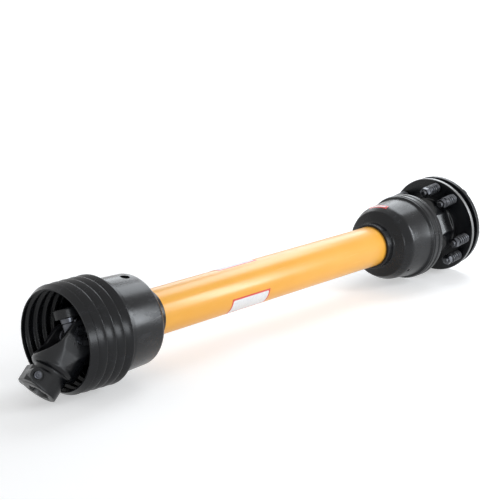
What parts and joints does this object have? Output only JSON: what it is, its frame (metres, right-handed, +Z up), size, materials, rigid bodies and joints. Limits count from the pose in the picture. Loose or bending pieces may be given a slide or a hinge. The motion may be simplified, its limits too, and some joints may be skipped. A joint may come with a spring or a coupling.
{
  "type": "pto drive shaft",
  "caption": "Telescoping farm drive shaft with universal joints, plastic guard with a ribbed bell and a cone, push-pin yoke and a spring-loaded friction clutch.",
  "frame": {"origin": "centre of the bounding box at the ground that the shaft lies on", "axes": "+X runs along the shaft from the tractor yoke to the friction clutch, +Z is up, +Y points away from the side with the push pin's button"},
  "size_m": [1.022, 0.1748, 0.1752],
  "materials": {
    "black_plastic": "moulded, satin",
    "yellow_plastic": "extruded, glossy",
    "black_paint": "black paint over forged steel",
    "bright_steel": "zinc plated or ground",
    "dark_steel": "blackened and oiled",
    "white_nylon": "natural nylon",
    "brown_lining": "pressed fibre friction lining"
  },
  "bodies": {
    "outer_shaft": {"outer_shaft_yoke": "black_paint", "outer_profile_tube": "dark_steel", "outer_spring_pin": "bright_steel", "outer_shaft_cup_a": "bright_steel", "outer_shaft_cup_b": "bright_steel"},
    "guard_tractor": {"bellows": "black_plastic", "tractor_bell": "black_plastic", "outer_guard_tube": "yellow_plastic", "tractor_bearing_ring": "white_nylon"},
    "tractor_cross": {"tractor_cross": "bright_steel", "tractor_cross_nipple": "bright_steel"},
    "tractor_yoke": {"tractor_yoke": "black_paint", "tractor_yoke_cup_a": "bright_steel", "tractor_yoke_cup_b": "bright_steel"},
    "release_pin": {"release_pin": "bright_steel"},
    "inner_shaft": {"inner_shaft_yoke": "black_paint", "inner_profile_tube": "dark_steel", "inner_spring_pin": "bright_steel", "inner_shaft_cup_a": "bright_steel", "inner_shaft_cup_b": "bright_steel"},
    "guard_implement": {"implement_cone": "black_plastic", "inner_guard_tube": "yellow_plastic", "implement_bearing_ring": "white_nylon"},
    "clutch_cross": {"clutch_cross": "bright_steel", "clutch_cross_nipple": "bright_steel"},
    "clutch_yoke": {"flange_yoke": "black_paint", "flange_yoke_cup_a": "bright_steel", "flange_yoke_cup_b": "bright_steel", "pressure_plate": "black_paint", "clutch_bush": "white_nylon", "clutch_bolt_1": "dark_steel", "clutch_bolt_2": "dark_steel", "clutch_bolt_3": "dark_steel", "clutch_bolt_4": "dark_steel", "clutch_bolt_5": "dark_steel", "clutch_bolt_6": "dark_steel", "clutch_bolt_7": "dark_steel", "clutch_bolt_8": "dark_steel", "clutch_nut_1": "bright_steel", "clutch_nut_2": "bright_steel", "clutch_nut_3": "bright_steel", "clutch_nut_4": "bright_steel", "clutch_nut_5": "bright_steel", "clutch_nut_6": "bright_steel", "clutch_nut_7": "bright_steel", "clutch_nut_8": "bright_steel", "clutch_spring_1": "dark_steel", "clutch_spring_2": "dark_steel", "clutch_spring_3": "dark_steel", "clutch_spring_4": "dark_steel", "clutch_spring_5": "dark_steel", "clutch_spring_6": "dark_steel", "clutch_spring_7": "dark_steel", "clutch_spring_8": "dark_steel"},
    "clutch_hub": {"clutch_hub": "black_paint", "friction_lining_front": "brown_lining", "friction_lining_rear": "brown_lining", "hub_clamp_bolt": "bright_steel"}
  },
  "joints": [
    {"name": "tractor_guard_spin", "type": "hinge", "parent": "outer_shaft", "child": "guard_tractor", "pos_m": [-0.44636, 0, 0.08102], "axis": [1, 0, 0], "continuous": true},
    {"name": "tractor_cross_swing", "type": "hinge", "parent": "outer_shaft", "child": "tractor_cross", "pos_m": [-0.42136, 0, 0.08102], "axis": [0, 0.342, 0.9397], "range_deg": [0, 36]},
    {"name": "tractor_yoke_swing", "type": "hinge", "parent": "tractor_cross", "child": "tractor_yoke", "pos_m": [-0.42136, 0, 0.08102], "axis": [0.3085, 0.8939, -0.3253], "range_deg": [0, 70]},
    {"name": "release_pin_push", "type": "slide", "parent": "tractor_yoke", "child": "release_pin", "axis": [0.3085, 0.8939, -0.3253], "range_m": [0, 0.01], "stiffness_N_per_m": 1500, "springref_m": -0.004},
    {"name": "telescope", "type": "slide", "parent": "outer_shaft", "child": "inner_shaft", "axis": [1, 0, 0], "range_m": [0, 0.25]},
    {"name": "implement_guard_spin", "type": "hinge", "parent": "inner_shaft", "child": "guard_implement", "pos_m": [-0.44636, 0, 0.08102], "axis": [1, 0, 0], "continuous": true},
    {"name": "clutch_cross_swing", "type": "hinge", "parent": "inner_shaft", "child": "clutch_cross", "pos_m": [0.39864, 0, 0.08102], "axis": [0, 0.342, 0.9397], "range_deg": [-10, 14]},
    {"name": "clutch_yoke_swing", "type": "hinge", "parent": "clutch_cross", "child": "clutch_yoke", "pos_m": [0.39864, 0, 0.08102], "axis": [0.0342, 0.9391, -0.3418], "range_deg": [-7, 17]},
    {"name": "clutch_slip", "type": "hinge", "parent": "clutch_yoke", "child": "clutch_hub", "pos_m": [0.39864, 0, 0.08102], "axis": [0.995, 0, 0.0994], "continuous": true}
  ]
}
